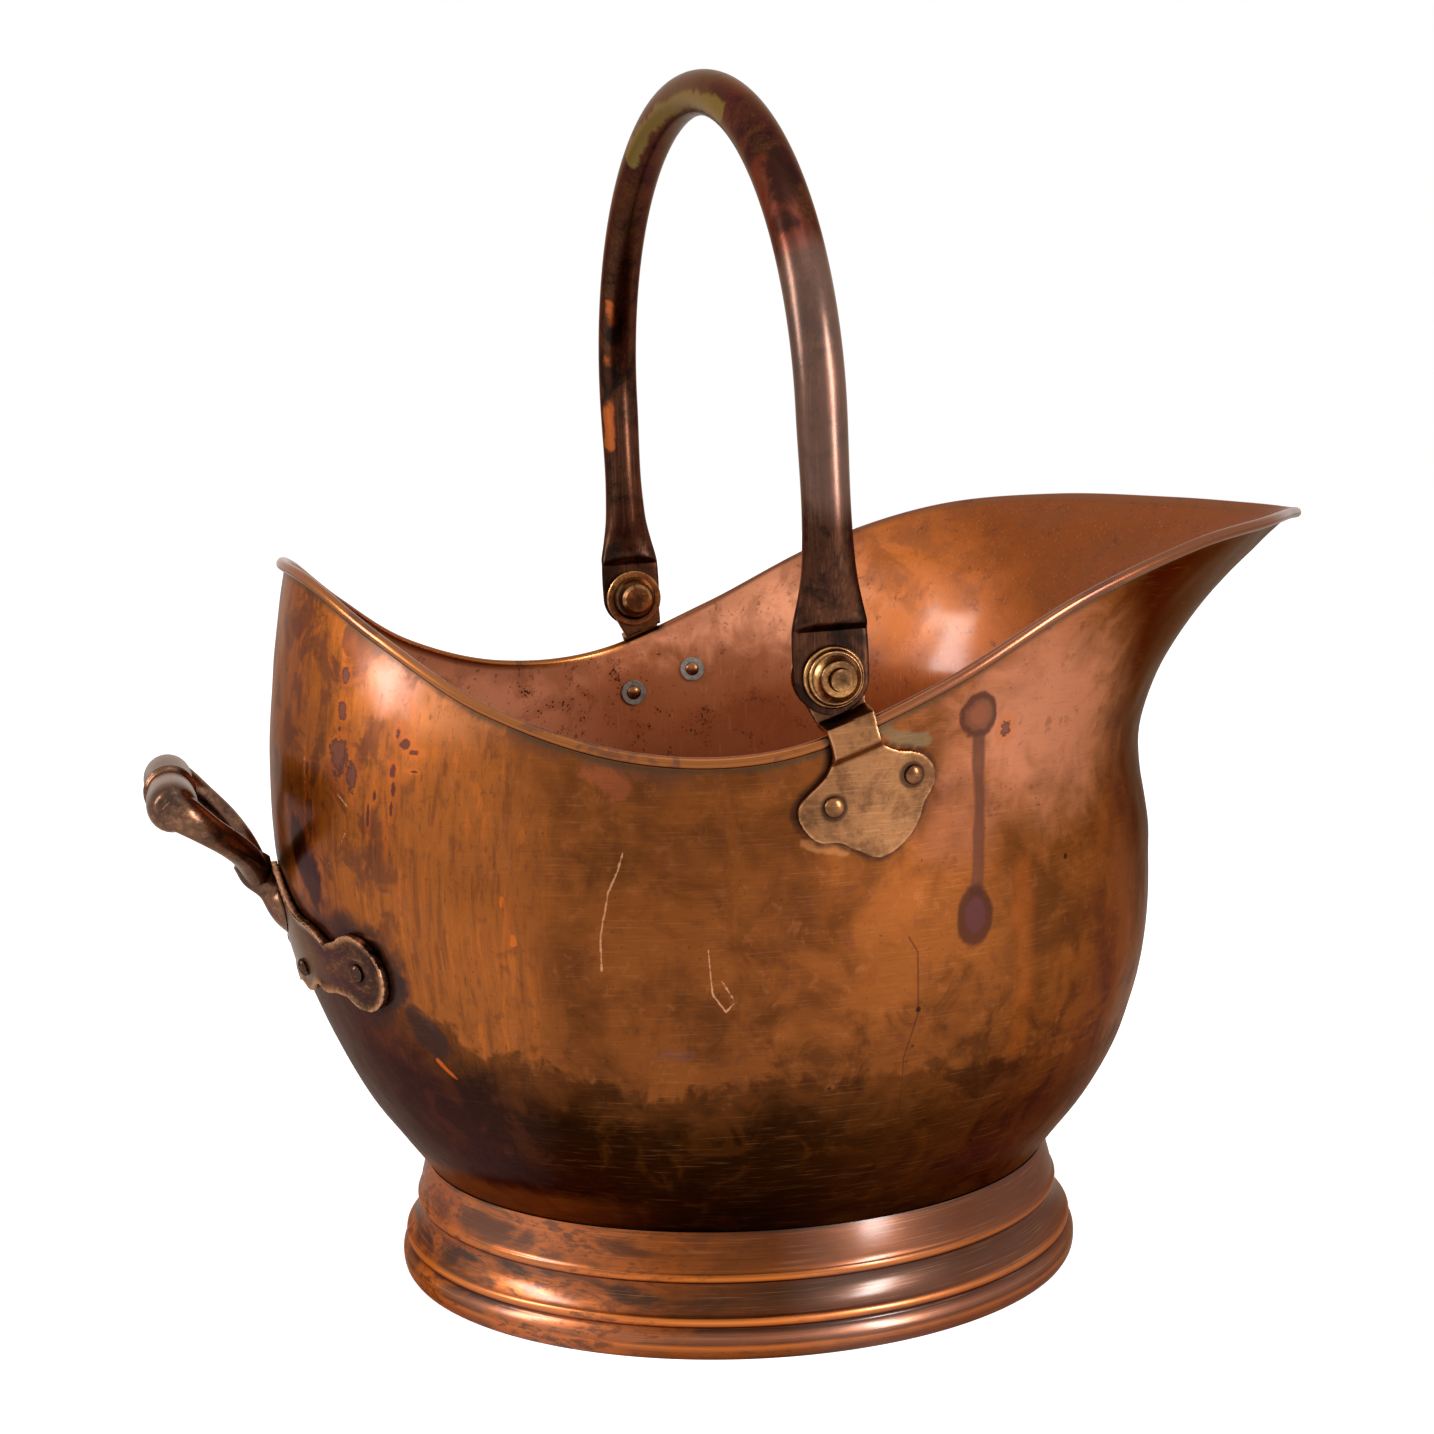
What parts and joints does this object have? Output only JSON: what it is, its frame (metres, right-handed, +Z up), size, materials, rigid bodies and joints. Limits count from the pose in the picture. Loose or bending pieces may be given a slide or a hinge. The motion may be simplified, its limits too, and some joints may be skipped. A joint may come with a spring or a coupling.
{
  "type": "helmet coal scuttle",
  "caption": "Footed sheet-copper bucket with a raised back, a wide pouring spout, a swinging arched bail and a fixed rear handle, for carrying and tipping coal.",
  "frame": {"origin": "on the floor, under the middle of the whole object's length and width", "axes": "+X towards the spout, +Y across to the far ear, +Z up; the bail stands upright at rest"},
  "size_m": [0.4368, 0.3418, 0.4299],
  "materials": {
    "bowl_copper": "raised sheet copper with an old warm brown patina, polished long ago, with water stains",
    "foot_copper": "spun copper, brushed round, darker in the grooves",
    "dark_copper": "dark oxidised copper, brighter on worn edges",
    "fitting_brass": "worn cast brass with grime in the grooves",
    "bail_bronze": "dark brown bronze, polished by handling, orange where it is worn",
    "handle_bronze": "dark brown cast bronze, bright on the worn crests",
    "plain_iron": "dull grey iron"
  },
  "bodies": {
    "scuttle": {"body_shell": "bowl_copper", "rim_wire": "plain_iron", "base_pan": "dark_copper", "foot_ring": "foot_copper", "near_ear": "fitting_brass", "far_ear": "fitting_brass", "near_ear_rear_rivet": "fitting_brass", "near_ear_rear_rove": "plain_iron", "near_ear_front_rivet": "fitting_brass", "near_ear_front_rove": "plain_iron", "far_ear_rear_rivet": "fitting_brass", "far_ear_rear_rove": "plain_iron", "far_ear_front_rivet": "fitting_brass", "far_ear_front_rove": "plain_iron", "near_plate_inner_rivet": "dark_copper", "near_plate_inner_rove": "plain_iron", "near_plate_lobe_rivet": "dark_copper", "near_plate_lobe_rove": "plain_iron", "far_plate_inner_rivet": "dark_copper", "far_plate_inner_rove": "plain_iron", "far_plate_lobe_rivet": "dark_copper", "far_plate_lobe_rove": "plain_iron", "near_pivot_pin": "fitting_brass", "near_pivot_washer": "fitting_brass", "near_pivot_rose": "fitting_brass", "far_pivot_pin": "fitting_brass", "far_pivot_washer": "fitting_brass", "far_pivot_rose": "fitting_brass", "rear_plate": "dark_copper", "rear_handle": "handle_bronze"},
    "bail": {"bail": "bail_bronze"}
  },
  "joints": [
    {"name": "bail_swing", "type": "hinge", "parent": "scuttle", "child": "bail", "pos_m": [-0.00875, 0, 0.23012], "axis": [0, 1, 0], "range_deg": [-96, 71]}
  ]
}
